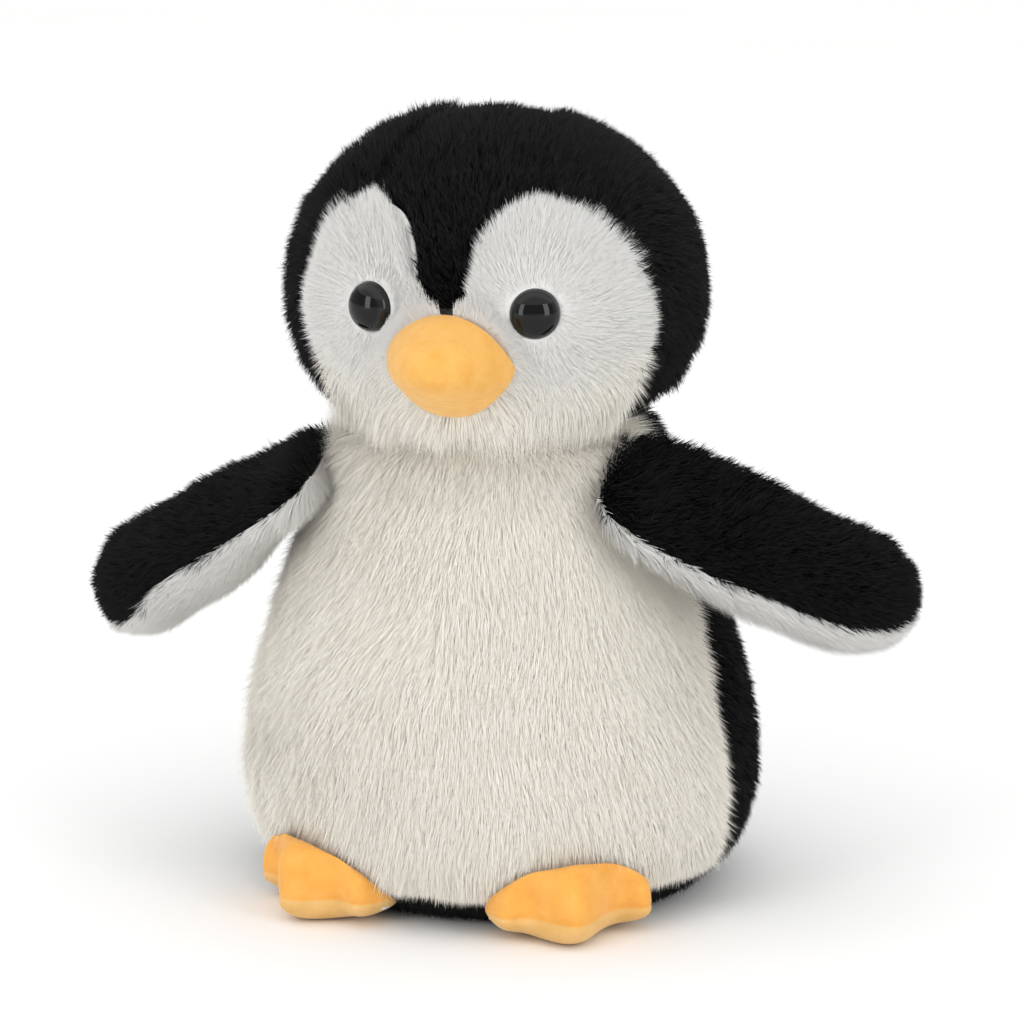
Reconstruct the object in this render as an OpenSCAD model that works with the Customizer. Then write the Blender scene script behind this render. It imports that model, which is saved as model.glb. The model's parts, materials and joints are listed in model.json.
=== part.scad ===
// Plush penguin: stuffed toy, sewn from pile-fabric panels round soft fillings.
// Millimetres. +Z is up, the toy looks along -Y, and it stands on z = 0 with the
// origin at the middle of its base. Its own left side is +X.

/* [Body] */
// Height of the body up to the neck rim
body_height = 112; // [104:1:114]
// Half width of the body at its fullest
body_half_width = 62.5; // [58:0.5:66]
// Reach of the belly in front of the middle
body_front = 59.5; // [56:0.5:62]
// Reach of the back behind the middle
body_back = 61; // [57:0.5:64]
// Angle from the front at which belly and back panels meet
belly_seam_angle = 73; // [62:1:80]

/* [Head] */
// Height of the middle of the head, where it nods
head_height = 147; // [146:0.5:150]
// How far the head sits forward
head_forward = 5; // [3:0.5:5]
// Half width of the head
head_half_width = 49; // [47:0.5:52]
// Reach of the face in front of the head's middle
head_front = 40; // [38:0.5:43]
// Reach of the head behind its middle
head_back = 46; // [44:0.5:48]
// Rise of the crown above the head's middle
head_rise = 42.5; // [40:0.5:46]
// Radius of the round underside that sits in the neck hollow
neck_ball = 44; // [43:0.25:44]

/* [Face] */
// Distance of each eye from the middle plane
eye_offset = 20.5; // [18:0.5:23]
// Height of the eyes
eye_height = 146.3; // [142:0.1:150]
// Diameter of each safety eye
eye_diameter = 12; // [9:0.5:13]
// Half width of the beak
beak_half_width = 15.2; // [12:0.2:17]
// Height of the mouth line
mouth_height = 133.5; // [131:0.5:136]
// How far the beak stands out from the face
beak_length = 18.5; // [12:0.5:22]

/* [Flippers] */
// Length of a flipper from its root line to its tip
flipper_length = 68; // [60:1:76]
// Half chord of a flipper at its broadest
flipper_half_chord = 18.5; // [15:0.5:19]
// Rise of a flipper's black side above its middle
flipper_top_swell = 10.5; // [8:0.5:10.5]
// Drop of a flipper's white side below its middle
flipper_under_swell = 13.5; // [9:0.5:13.5]
// Droop of the left flipper below level
left_droop = 22; // [10:1:40]
// Droop of the right flipper below level
right_droop = 31.5; // [15:0.5:38]
// Twist of the right flipper's tip
right_twist = 25; // [0:1:30]

/* [Feet] */
// Angle of each foot's middle toe from straight ahead
foot_angle = 33.5; // [30:0.5:36]
// Half of the angle that a foot spans round the body
foot_half_span = 21; // [17:1:23]
// Height of a foot where it meets the belly
foot_height = 20; // [15:0.5:23]
// Reach of the middle toe beyond the belly
toe_reach = 16; // [11:0.5:20]

/* [Fabric] */
// Thickness of the long pile fabric, half pile and backing together
fabric = 3.4; // [2.5:0.1:3.8]
// Thickness of the short pile fabric of beak and feet
short_fabric = 1.6; // [1.2:0.1:2]

/* [Hidden] */
seam_gap = 0.2;
filling_gap = 0.4;
body_gap = 0.6;
core_height = 45;
head_middle = [0, -head_forward, head_height];
// Body outline: share of the height, share of the full radius
body_profile = [
    [0, 0.66], [0.03, 0.8], [0.08, 0.9], [0.16, 0.975], [0.28, 1], [0.43, 0.965],
    [0.57, 0.895], [0.71, 0.815], [0.85, 0.722], [0.95, 0.645], [1, 0.61]
];
body_rows = [0, 2.5, 6, 11, 18, 27, 38, 50, 62, 74, 85, 95, 104, 112];
// Face patch edges: turn up from under the chin, angle of the inner and outer edge from the middle
patch_inner_edge = [[0, 0], [86, 0], [91, 7], [97, 10.5], [108, 12], [119, 15.5], [126, 21], [132, 32]];
patch_outer_edge = [[0, 18], [30, 42], [55, 58], [78, 65], [95, 64], [110, 59.5], [120, 53.5],
    [127, 45], [132, 32]];
// The left face patch reaches further round the cheek than the right one
left_patch_trim = 3;
right_patch_trim = -5;
gusset_edge = [[132, 32], [152, 25], [180, 19], [230, 16], [300, 15], [360, 9]];
patch_top = 132;
gusset_start = 91;
side_pole = 88;
flipper_root = [43.8, -26, 101.5];
flipper_sweep = 13;
flipper_front_seam = 160;
// The right flipper hangs turned, so its black face wraps further round
right_front_seam = 176;
flipper_share = 0.8;
left_chord_way = [0.3, 0.84, 0.45];
right_chord_way = [0.1, 0.93, 0.3];
left_cap = 12;
right_cap = 8;
// Half chord behind and before the middle line, along the flipper
flipper_rear_edge = [[-1, 0.47], [-0.8, 0.72], [-0.4, 0.87], [0, 0.93], [0.15, 0.95], [0.3, 0.91],
    [0.45, 0.82],
    [0.58, 0.745], [0.7, 0.75], [0.8, 0.79], [1, 0.81]];
flipper_front_edge = [[-1, 0.3], [-0.8, 0.5], [-0.4, 0.68], [0, 0.8], [0.15, 0.9], [0.3, 0.98],
    [0.45, 1], [0.58, 1],
    [0.7, 0.98], [0.8, 0.95], [1, 0.9]];
beak_rise = 12.6;
beak_drop = 10.8;
flipper_stations = [-0.995, -0.86, -0.55, -0.25, 0, 0.12, 0.24, 0.36, 0.48, 0.6, 0.71, 0.81, 0.89, 0.95,
    0.985, 0.999];
foot_seam = 6.5;
foot_core_radius = 60;
foot_core_height = 7;
foot_lean = 3;
pouch_top = 19;
base_radius = 37.6;
base_thickness = 2.4;
washer_radius = 6;
label_height = 24;
label_length = 17;
label_width = 12;
label_thickness = 0.8;

// ---- Curves through a few points ----
function last(list) = list[len(list) - 1];
function span_at(table, x, i = 0) =
    i >= len(table) - 2 || x < table[i + 1][0] ? i : span_at(table, x, i + 1);
function slope(table, i) =
    let (a = table[max(i - 1, 0)], b = table[min(i + 1, len(table) - 1)])
    (b[1] - a[1]) / (b[0] - a[0]);
function curve(table, x) =
    let (i = span_at(table, x), step = table[i + 1][0] - table[i][0], u = (x - table[i][0]) / step)
    table[i][1] * (1 - u) * (1 - u) * (1 + 2 * u) + table[i + 1][1] * u * u * (3 - 2 * u)
    + step * u * (1 - u) * ((1 - u) * slope(table, i) - u * slope(table, i + 1));
function smooth(low, high, x) = let (u = min(1, max(0, (x - low) / (high - low)))) u * u * (3 - 2 * u);
function unit(v) = v / norm(v);
function mirrored(points, side) = [for (row = points) [for (p = row) [side * p.x, p.y, p.z]]];
function toward(p, core, depth) = core + (p - core) * (1 - depth / norm(p - core));

// ---- Solids from grids of points ----
function flat(rows) = [for (row = rows) each row];
function grid_faces(rows, columns, start, flip) = [
    for (i = [0 : rows - 2], j = [0 : columns - 2])
    let (a = start + i * columns + j, b = a + 1, c = a + columns, d = c + 1)
    each flip ? [[a, b, d], [a, d, c]] : [[a, d, b], [a, c, d]]
];
function wall_faces(loop, shift, flip) = [
    for (i = [0 : len(loop) - 1])
    let (a = loop[i], b = loop[(i + 1) % len(loop)])
    each flip
        ? [[a, a + shift, b + shift], [a, b + shift, b]]
        : [[a, b + shift, a + shift], [a, b, b + shift]]
];

// A sheet of fabric: outer and inner grids of points, joined round their edges
module sheet(outer, inner, flip = false) {
    rows = len(outer);
    columns = len(outer[0]);
    count = rows * columns;
    edge = concat(
        [for (j = [0 : columns - 2]) j],
        [for (i = [0 : rows - 2]) i * columns + columns - 1],
        [for (j = [columns - 1 : -1 : 1]) (rows - 1) * columns + j],
        [for (i = [rows - 1 : -1 : 1]) i * columns]
    );
    polyhedron(
        points = concat(flat(outer), flat(inner)),
        faces = concat(
            grid_faces(rows, columns, 0, flip),
            grid_faces(rows, columns, count, !flip),
            wall_faces(edge, count, flip)
        )
    );
}

// A filling: closed rings of points, stopped at each end by a fan to one point
module stuffed(rings, first_point, last_point, flip = false) {
    rows = len(rings);
    columns = len(rings[0]);
    count = rows * columns;
    polyhedron(
        points = concat(flat(rings), [first_point, last_point]),
        faces = concat(
            [for (i = [0 : rows - 2], j = [0 : columns - 1])
                let (a = i * columns + j, b = i * columns + (j + 1) % columns)
                let (c = a + columns, d = b + columns)
                each flip ? [[a, b, d], [a, d, c]] : [[a, d, b], [a, c, d]]],
            [for (j = [0 : columns - 1])
                let (k = (j + 1) % columns, top = (rows - 1) * columns)
                each flip ? [[j, count, k], [top + j, top + k, count + 1]]
                    : [[j, k, count], [top + j, count + 1, top + k]]]
        )
    );
}

// ---- Body ----
function body_point(z, angle) =
    let (share = curve(body_profile, z / body_height))
    [
        body_half_width * share * sin(angle),
        -(cos(angle) > 0 ? body_front : body_back) * share * cos(angle),
        z
    ];
function body_inner(p, depth) = toward(p, [0, 0, max(p.z, core_height)], depth);
function row_height(row) = row * body_height / last(body_rows);
function body_grid(angles, depth) = [
    for (row = body_rows)
        [for (a = angles) let (p = body_point(row_height(row), a)) depth > 0 ? body_inner(p, depth) : p]
];
module body_panel(from, to, steps) {
    ends = seam_gap;
    angles = [for (i = [0 : steps]) from + ends + (to - from - 2 * ends) * i / steps];
    sheet(body_grid(angles, 0), body_grid(angles, fabric));
}
module belly_panel() {
    color("ivory") body_panel(-belly_seam_angle, belly_seam_angle, 18);
}
module back_panel_left() {
    color([0.1, 0.1, 0.1]) body_panel(belly_seam_angle, 180, 12);
}
module back_panel_right() {
    color([0.1, 0.1, 0.1]) body_panel(-180, -belly_seam_angle, 12);
}
module base_panel() {
    color([0.08, 0.08, 0.08])
    rotate_extrude($fn = 96)
    polygon([[0, 0], [base_radius, 0], [base_radius - 0.6, base_thickness], [0, base_thickness]]);
}

// The neck hollow: flat at the rim, round where the head sits in it
function neck_floor(p) =
    let (reach = neck_ball + body_gap, away = norm([p.x, p.y + head_forward]))
    min(body_height, head_height - sqrt(max(0, reach * reach - away * away)));
module body_filling() {
    depth = fabric + filling_gap;
    angles = [for (a = [0 : 9 : 351]) a];
    rows = [for (row = body_rows) if (row >= 18) row];
    sides = [for (row = rows) [for (a = angles) body_inner(body_point(row_height(row), a), depth)]];
    rim = last(sides);
    hollow = [for (share = [0.92, 0.84, 0.72, 0.5, 0.25]) [
        for (p = rim) let (q = [p.x * share, p.y * share]) [q.x, q.y, neck_floor(q)]
    ]];
    color("white")
    stuffed(concat(sides, hollow), [0, 0, sides[0][0].z], [0, 0, neck_floor([0, 0])]);
}
module pellet_pouch() {
    low = base_thickness + 0.4;
    color("wheat")
    rotate_extrude($fn = 72)
    polygon([
        [0, low], [36, low], [41, low + 3], [44, low + 8],
        [43, pouch_top - 3], [38, pouch_top], [0, pouch_top]
    ]);
}
// A blank label, folded once and hanging from the seam low on the middle of the back
module care_label() {
    color("white")
    translate([-label_thickness / 2, body_point(label_height, 180).y + 0.1, label_height - label_width / 2])
    cube([label_thickness, label_length, label_width]);
}

// ---- Head ----
// Turn 0 points straight down, 90 at the face, 180 at the crown, 270 at the back
function head_direction(turn, aside) = [sin(aside), -cos(aside) * sin(turn), -cos(aside) * cos(turn)];
function head_radius(u) =
    let (
        egg = 1 / norm([
            u.x / head_half_width,
            u.y / (u.y < 0 ? head_front : head_back),
            u.z / (u.z > 0 ? head_rise : neck_ball)
        ]),
        ball = smooth(63, 51, acos(-u.z))
    )
    egg * (1 - ball) + neck_ball * ball;
function head_point(turn, aside, depth = 0) =
    let (u = head_direction(turn, aside)) head_middle + u * (head_radius(u) - depth);
function spread(low, high, share) = low + (high - low) * share;
function head_grid(turns, edges, steps, side, depth) = mirrored([
    for (i = [0 : len(turns) - 1]) [
        for (j = [0 : steps]) head_point(turns[i], spread(edges[i][0], edges[i][1], j / steps), depth)
    ]
], side);
module head_sheet(turns, edges, steps, side) {
    sheet(
        head_grid(turns, edges, steps, side, 0),
        head_grid(turns, edges, steps, side, fabric),
        flip = side < 0
    );
}
module head_eye_place(side) {
    drop = (eye_height - head_height) / (eye_height > head_height ? head_rise : neck_ball);
    across = eye_offset / head_half_width;
    deep = head_front * sqrt(1 - across * across - drop * drop);
    face = [side * eye_offset, -head_forward - deep, eye_height];
    lean = atan(eye_offset / head_half_width / head_half_width * head_front * head_front / deep);
    translate(face) rotate([90, 0, 0]) rotate([0, side * lean, 0]) children();
}
// Seat for an eye: a well through the pile and a bore for the stem
module eye_seat(side) {
    head_eye_place(side) {
        translate([0, 0, -fabric + 1]) cylinder(r = eye_diameter / 2 + 0.3, h = 12, $fn = 48);
        translate([0, 0, -18]) cylinder(r = 1.9, h = 20, $fn = 32);
    }
}
function patch_trim(turn, side) =
    (side > 0 ? left_patch_trim : right_patch_trim) * smooth(30, 62, turn) * (1 - smooth(112, 130, turn));
function side_edge(turn, side) =
    turn < patch_top ? curve(patch_outer_edge, turn) + patch_trim(turn, side) : curve(gusset_edge, turn);
// Stations shared by neighbouring panels so that their seams meet
chin_turns = [for (i = [0 : 9]) 1 + (gusset_start - 6.5) * i / 9];
brow_turns = [for (i = [0 : 8]) gusset_start + (patch_top - 1.5 - gusset_start) * i / 8];
crown_turns = [for (i = [0 : 22]) patch_top + 3 + (356 - patch_top - 3) * i / 22];
module face_patch(side) {
    turns = concat(chin_turns, brow_turns);
    edges = [for (t = turns) [max(0, curve(patch_inner_edge, t)) + 0.15, side_edge(t, side) - 0.15]];
    color("ivory")
    difference() {
        head_sheet(turns, edges, 8, side);
        eye_seat(side);
    }
}
module face_patch_left() {
    face_patch(1);
}
module face_patch_right() {
    face_patch(-1);
}
module side_panel(side) {
    turns = concat([0.2], chin_turns, brow_turns, crown_turns, [359.8]);
    edges = [for (t = turns) [side_edge(t, side) + 0.15, side_pole]];
    color([0.1, 0.1, 0.1]) head_sheet(turns, edges, 8, side);
}
module side_panel_left() {
    side_panel(1);
}
module side_panel_right() {
    side_panel(-1);
}
function gusset_half(turn) =
    turn < patch_top ? max(0.4, curve(patch_inner_edge, turn)) : curve(gusset_edge, turn);
module crown_gusset() {
    turns = concat(brow_turns, crown_turns, [359]);
    edges = [for (t = turns) [0.5 - gusset_half(t), gusset_half(t) - 0.5]];
    color([0.1, 0.1, 0.1]) head_sheet(turns, edges, 4, 1);
}
module head_filling() {
    depth = fabric + 2.3 * filling_gap;
    sides = [for (aside = [-82 : 10.25 : 82]) [for (turn = [0 : 10 : 350]) head_point(turn, aside, depth)]];
    color("white")
    difference() {
        stuffed(sides, head_point(0, -90, depth), head_point(0, 90, depth), flip = true);
        for (side = [-1, 1]) {
            head_eye_place(side) {
                translate([0, 0, -17]) cylinder(r = 1.9, h = 20, $fn = 32);
                translate([0, 0, -fabric - 2.6]) cylinder(r = washer_radius + 0.4, h = 6, $fn = 48);
            }
        }
    }
}

// ---- Eyes ----
// One moulding: dome, rim and stem, set into the seat that the pile leaves
module safety_eye(side) {
    dome = eye_diameter / 2;
    seat = -fabric + 1.2;
    color([0.02, 0.02, 0.02])
    head_eye_place(side)
    translate([0, 0, seat])
    rotate_extrude($fn = 72)
    polygon(concat(
        [[0, -11], [1.5, -11], [1.5, 0], [dome - 0.4, 0], [dome, 0.5]],
        [for (a = [0 : 9 : 81]) [(dome - 0.5) * cos(a), 0.9 + (dome - 0.6) * sin(a)]],
        [[0, 0.3 + dome]]
    ));
}
module eye_left() {
    safety_eye(1);
}
module eye_right() {
    safety_eye(-1);
}
// Lock washer pushed up the stem from inside the head
module eye_washer(side) {
    color("white")
    head_eye_place(side)
    translate([0, 0, -fabric - 2])
    difference() {
        cylinder(r = washer_radius, h = 1.2, $fn = 48);
        translate([0, 0, -1]) cylinder(r = 1.55, h = 4, $fn = 32);
    }
}
module eye_washer_left() {
    eye_washer(1);
}
module eye_washer_right() {
    eye_washer(-1);
}

// ---- Beak ----
// Across runs from corner to corner, rise from the mouth line to the beak's edge on the face
function beak_point(across, rise, depth, high, out) =
    let (
        x = (beak_half_width - depth) * across,
        z = mouth_height + (high - depth * sign(high)) * rise * sqrt(1 - across * across),
        drop = (z - head_height) / neck_ball,
        wide = x / head_half_width,
        deep = head_front * sqrt(1 - wide * wide - drop * drop),
        u = unit([x, -deep, z - head_height]),
        foot = head_middle + u * (head_radius(u) + 0.4),
        edge = across * across + rise * rise * (1 - across * across),
        length = (beak_length - depth) * pow(max(0, 1 - pow(edge, 0.85)), 0.85)
    )
    foot + out * [0, -length, 0];
function beak_grid(high, depth, rise_from, tuck) = [
    for (rise = [rise_from, 0.18, 0.36, 0.54, 0.7, 0.84, 0.94, 1]) [
        for (across = [-0.985, -0.93, -0.8, -0.6, -0.4, -0.2, 0, 0.2, 0.4, 0.6, 0.8, 0.93, 0.985])
        beak_point(across * tuck, rise * tuck, depth, high, 1)
    ]
];
module beak_half(high) {
    sheet(beak_grid(high, 0, 0.012, 1), beak_grid(high, short_fabric, 0.014, 0.99), flip = high < 0);
}
module beak_upper() {
    color("orange") beak_half(beak_rise);
}
module beak_lower() {
    color("orange") beak_half(-beak_drop);
}
module beak_filling() {
    depth = short_fabric + 0.35;
    rises = [0, 0.3, 0.6, 0.85, 0.98];
    steps = [for (across = [-0.9, -0.7, -0.45, -0.2, 0, 0.2, 0.45, 0.7, 0.9]) across];
    rings = [for (across = steps) concat(
        [for (rise = rises) beak_point(across, rise, depth, beak_rise, 0.93)],
        [for (i = [3 : -1 : 0]) beak_point(across, rises[i], depth, beak_rise, 0)],
        [for (i = [1 : 3]) beak_point(across, rises[i], depth, -beak_drop, 0)],
        [for (i = [4 : -1 : 1]) beak_point(across, rises[i], depth, -beak_drop, 0.93)]
    )];
    ends = [for (across = [-0.95, 0.95]) beak_point(across, 0, depth, beak_rise, 0.5)];
    color("white") stuffed(rings, ends[0], ends[1], flip = true);
}

// ---- Flippers ----
function flipper_direction(droop) =
    [cos(droop) * cos(flipper_sweep), cos(droop) * sin(flipper_sweep), -sin(droop)];
function flipper_tip(s, start, power) = sqrt(max(0, 1 - pow(max(0, (s - start) / (1 - start)), power)));
// Share of the full swell: thin at the sewn root, full from half way out
function flipper_swell(s) =
    s < 0 ? 0.42 * sqrt(1 - s * s) : (0.42 + 0.58 * smooth(0, 0.5, s)) * flipper_tip(s, 0.7, 2.2);
// Station s runs from -1 at the round root through 0 on the root line to 1 at the tip
function flipper_section(s, pose, angles, depth) =
    let (
        along = flipper_direction(pose[0]),
        way = pose[1],
        across = unit(way - along * (along * way)),
        normal = unit(cross(across, along)) * -1,
        cap = pose[2] - depth,
        run = s < 0 ? cap * s : (flipper_length - 1.2 * depth) * s,
        tip = flipper_tip(s, 0.66, 2.4),
        rear = (flipper_half_chord * curve(flipper_rear_edge, s) - depth) * tip,
        front = (flipper_half_chord * curve(flipper_front_edge, s) - depth) * tip,
        over = (flipper_top_swell - depth) * flipper_swell(s),
        under = (flipper_under_swell - depth) * flipper_swell(s),
        turn = pose[3] * smooth(0.45, 1, s)
    )
    [for (a = angles)
        let (
            chord = (cos(a) > 0 ? rear : front) * cos(a),
            rise = (sin(a) > 0 ? over : under) * sin(a)
        )
        flipper_root + along * run + across * (chord * cos(turn) - rise * sin(turn))
            + normal * (chord * sin(turn) + rise * cos(turn))];
// A pose holds a flipper's droop, chord direction, root cap and tip twist
left_pose = [left_droop, left_chord_way, left_cap, 0];
right_pose = [right_droop, right_chord_way, right_cap, right_twist];
function flipper_grid(side, pose, angles, depth) =
    mirrored([for (s = flipper_stations) flipper_section(s, pose, angles, depth)], side);
module flipper_skin(side, pose, from, to, colour) {
    angles = [for (i = [0 : 8]) from + 1.2 + (to - from - 2.4) * i / 8];
    depth = fabric * flipper_share;
    outer = flipper_grid(side, pose, angles, 0);
    color(colour) sheet(outer, flipper_grid(side, pose, angles, depth), flip = side < 0);
}
module flipper_core(side, pose) {
    rings = flipper_grid(side, pose, [for (a = [0 : 22.5 : 337.5]) a], fabric * flipper_share + 0.35);
    middle = function(ring) (ring[0] + ring[8]) / 2;
    color("white") stuffed(rings, middle(rings[0]), middle(last(rings)), flip = side < 0);
}
module flipper_top_left() {
    flipper_skin(1, left_pose, 0, flipper_front_seam, [0.08, 0.08, 0.08]);
}
module flipper_under_left() {
    flipper_skin(1, left_pose, flipper_front_seam, 360, "ivory");
}
module flipper_filling_left() {
    flipper_core(1, left_pose);
}
module flipper_top_right() {
    flipper_skin(-1, right_pose, 0, right_front_seam, [0.08, 0.08, 0.08]);
}
module flipper_under_right() {
    flipper_skin(-1, right_pose, right_front_seam, 360, "ivory");
}
module flipper_filling_right() {
    flipper_core(-1, right_pose);
}

// ---- Feet ----
// Three toes: reach and height at a share of the half span, from -1 to 1
function toe_shape(share) =
    let (end = sqrt(max(0, 1 - pow(abs(share), 5))))
    end * (0.36 + 0.64 * exp(-pow((share + 0.1) / 0.34, 2)) + 0.28 * exp(-pow((abs(share) - 0.8) / 0.18, 2)));
function foot_rise(share) = pow(max(0, 1 - pow(abs(share), 1.9)), 0.65);
function foot_drop(share) = sqrt(max(0, 1 - pow(abs(share), 2.2)));
function foot_section(share) =
    let (
        angle = foot_angle + foot_half_span * share,
        out = [sin(angle), -cos(angle), 0],
        high = foot_seam + 0.3 + (foot_height - foot_seam - 0.3) * foot_rise(share),
        low = foot_seam - 0.3 - (foot_seam - 0.3) * foot_drop(share),
        near = function(z) body_point(z, angle) + out * (body_gap + foot_lean * z / foot_height),
        reach = norm([near(foot_seam).x, near(foot_seam).y]) + 0.6 + toe_reach * toe_shape(share),
        back = norm([near(high).x, near(high).y]),
        heel_point = near(low + (high - low) * 0.14),
        heel = norm([heel_point.x, heel_point.y])
    )
    concat(
        [for (a = [0 : 15 : 90]) let (r = back + (reach - back) * cos(a))
            [out.x * r, out.y * r, foot_seam + (high - foot_seam) * pow(sin(a), 0.9)]],
        [for (k = [0.9, 0.55, 0.3, 0.14]) near(low + (high - low) * k)],
        [[heel_point.x, heel_point.y, low]],
        [for (k = [1 : 3]) let (r = heel + (reach * 0.9 - heel) * k / 3) [out.x * r, out.y * r, low]],
        [for (a = [60, 30]) let (r = reach * (0.9 + 0.1 * cos(a)))
            [out.x * r, out.y * r, foot_seam - (foot_seam - low) * sin(a)]]
    );
foot_core = [foot_core_radius * sin(foot_angle), -foot_core_radius * cos(foot_angle), foot_core_height];
foot_shares = [-0.995, -0.96, -0.88, -0.76, -0.62, -0.46, -0.3, -0.14, 0, 0.14, 0.3, 0.46, 0.62, 0.76, 0.88,
    0.96, 0.995];
function foot_grid(side, points, depth) = mirrored([
    for (share = foot_shares) let (section = foot_section(share))
    [for (k = points)
        depth > 0 ? toward(section[k % len(section)], foot_core, depth) : section[k % len(section)]]
], side);
module foot_skin(side, points) {
    color("orange")
    sheet(foot_grid(side, points, 0), foot_grid(side, points, short_fabric), flip = side > 0);
}
module foot_core_filling(side) {
    rings = foot_grid(side, [for (k = [0 : 16]) k], short_fabric + 0.35);
    middle = function(ring) (ring[0] + ring[6] + ring[11]) / 3;
    color("white") stuffed(rings, middle(rings[0]), middle(last(rings)), flip = side > 0);
}
module foot_top_left() {
    foot_skin(1, [for (k = [0 : 11]) k]);
}
module foot_sole_left() {
    foot_skin(1, [for (k = [11 : 17]) k]);
}
module foot_filling_left() {
    foot_core_filling(1);
}
module foot_top_right() {
    foot_skin(-1, [for (k = [0 : 11]) k]);
}
module foot_sole_right() {
    foot_skin(-1, [for (k = [11 : 17]) k]);
}
module foot_filling_right() {
    foot_core_filling(-1);
}

base_panel();
belly_panel();
back_panel_left();
back_panel_right();
body_filling();
pellet_pouch();
care_label();
face_patch_left();
face_patch_right();
side_panel_left();
side_panel_right();
crown_gusset();
head_filling();
beak_upper();
beak_lower();
beak_filling();
eye_left();
eye_right();
eye_washer_left();
eye_washer_right();
flipper_top_left();
flipper_under_left();
flipper_filling_left();
flipper_top_right();
flipper_under_right();
flipper_filling_right();
foot_top_left();
foot_sole_left();
foot_filling_left();
foot_top_right();
foot_sole_right();
foot_filling_right();
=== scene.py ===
import json
from math import atan2, cos, degrees, pi, radians, sin, sqrt

import bpy
import numpy as np
from mathutils import Matrix, Vector, kdtree


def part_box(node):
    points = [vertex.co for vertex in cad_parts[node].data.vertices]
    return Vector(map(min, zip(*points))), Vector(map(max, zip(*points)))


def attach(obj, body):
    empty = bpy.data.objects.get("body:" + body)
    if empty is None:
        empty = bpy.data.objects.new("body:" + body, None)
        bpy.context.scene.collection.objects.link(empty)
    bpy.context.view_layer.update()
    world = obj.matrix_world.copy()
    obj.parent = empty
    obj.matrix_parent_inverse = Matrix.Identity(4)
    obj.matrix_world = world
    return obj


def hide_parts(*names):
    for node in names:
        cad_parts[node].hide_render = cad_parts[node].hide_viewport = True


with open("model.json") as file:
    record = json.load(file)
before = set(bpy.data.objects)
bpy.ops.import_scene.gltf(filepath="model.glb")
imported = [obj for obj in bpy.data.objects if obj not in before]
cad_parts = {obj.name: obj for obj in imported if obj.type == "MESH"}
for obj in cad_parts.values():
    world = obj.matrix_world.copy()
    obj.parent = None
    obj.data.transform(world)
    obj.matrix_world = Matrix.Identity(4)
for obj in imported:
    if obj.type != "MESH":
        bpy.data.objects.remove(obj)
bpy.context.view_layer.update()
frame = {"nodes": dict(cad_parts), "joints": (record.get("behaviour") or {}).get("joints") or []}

scene = bpy.context.scene

camera = {"azimuth": 17, "elevation": 12, "distance": 0.9, "lens": 129.1,
          "aim": (0, 0, 0.088), "right": 0.0022, "up": 0.0024}
studio = {"room": 0.49, "floorSize": 14, "floorTint": (0.90, 0.90, 0.895), "sun": 1.95, "sunSpread": 120,
          "softboxPower": 4.6, "softboxSize": (0.45, 0.85), "softboxTurns": (-46, 44), "softboxRise": 15,
          "softboxDistance": 1.35}


def viewAxes(azimuth, elevation):
    a, e = radians(azimuth), radians(elevation)
    back = Vector((sin(a) * cos(e), -cos(a) * cos(e), sin(e)))
    right = Vector((cos(a), sin(a), 0))
    return back, right, back.cross(right)


def makeCamera(spec):
    back, right, up = viewAxes(spec["azimuth"], spec["elevation"])
    aim = Vector(spec["aim"]) + right * spec["right"] + up * spec["up"]
    data = bpy.data.cameras.new("camera")
    data.lens = spec["lens"]
    data.sensor_width = 36
    data.clip_start = 0.05
    data.clip_end = 50
    seen = bpy.data.objects.new("camera", data)
    seen.location = aim + back * spec["distance"]
    seen.rotation_mode = "QUATERNION"
    seen.rotation_quaternion = Matrix((right, up, back)).transposed().to_quaternion()
    scene.collection.objects.link(seen)
    scene.camera = seen


def makeSoftbox(name, turn, rise, power, size, distance):
    back, right, up = viewAxes(camera["azimuth"] + turn, rise)
    light = bpy.data.lights.new(name, "AREA")
    light.shape = "RECTANGLE"
    light.size, light.size_y = size
    light.energy = power
    lamp = bpy.data.objects.new(name, light)
    lamp.location = Vector(camera["aim"]) + back * distance
    lamp.rotation_mode = "QUATERNION"
    lamp.rotation_quaternion = back.to_track_quat("Z", "Y")
    scene.collection.objects.link(lamp)


makeCamera(camera)
for i, turn in enumerate(studio["softboxTurns"]):
    makeSoftbox(f"softbox{i}", turn, studio["softboxRise"], studio["softboxPower"],
                studio["softboxSize"], studio["softboxDistance"])
overhead = bpy.data.lights.new("overhead", "SUN")
overhead.energy = studio["sun"]
overhead.angle = radians(studio["sunSpread"])
scene.collection.objects.link(bpy.data.objects.new("overhead", overhead))
room = bpy.data.worlds.new("room")
room.use_nodes = True
room.node_tree.nodes["Background"].inputs["Color"].default_value = (1, 1, 1, 1)
room.node_tree.nodes["Background"].inputs["Strength"].default_value = studio["room"]
scene.world = room
scene.view_settings.view_transform = "Standard"


def unit(v):
    return v / np.maximum(np.linalg.norm(v, axis=-1, keepdims=True), 1e-12)


def curveAt(table, x):
    t = np.array(table, float)
    x = np.asarray(x, float)
    slope = np.empty(len(t))
    slope[1:-1] = (t[2:, 1] - t[:-2, 1]) / (t[2:, 0] - t[:-2, 0])
    slope[0] = (t[1, 1] - t[0, 1]) / (t[1, 0] - t[0, 0])
    slope[-1] = (t[-1, 1] - t[-2, 1]) / (t[-1, 0] - t[-2, 0])
    i = np.clip(np.searchsorted(t[:, 0], x, side="right") - 1, 0, len(t) - 2)
    step = t[i + 1, 0] - t[i, 0]
    u = (x - t[i, 0]) / step
    return (t[i, 1] * (1 - u) ** 2 * (1 + 2 * u) + t[i + 1, 1] * u * u * (3 - 2 * u)
            + step * u * (1 - u) * ((1 - u) * slope[i] - u * slope[i + 1]))


def smooth(low, high, x):
    u = np.clip((x - low) / (high - low), 0, 1)
    return u * u * (3 - 2 * u)


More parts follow.
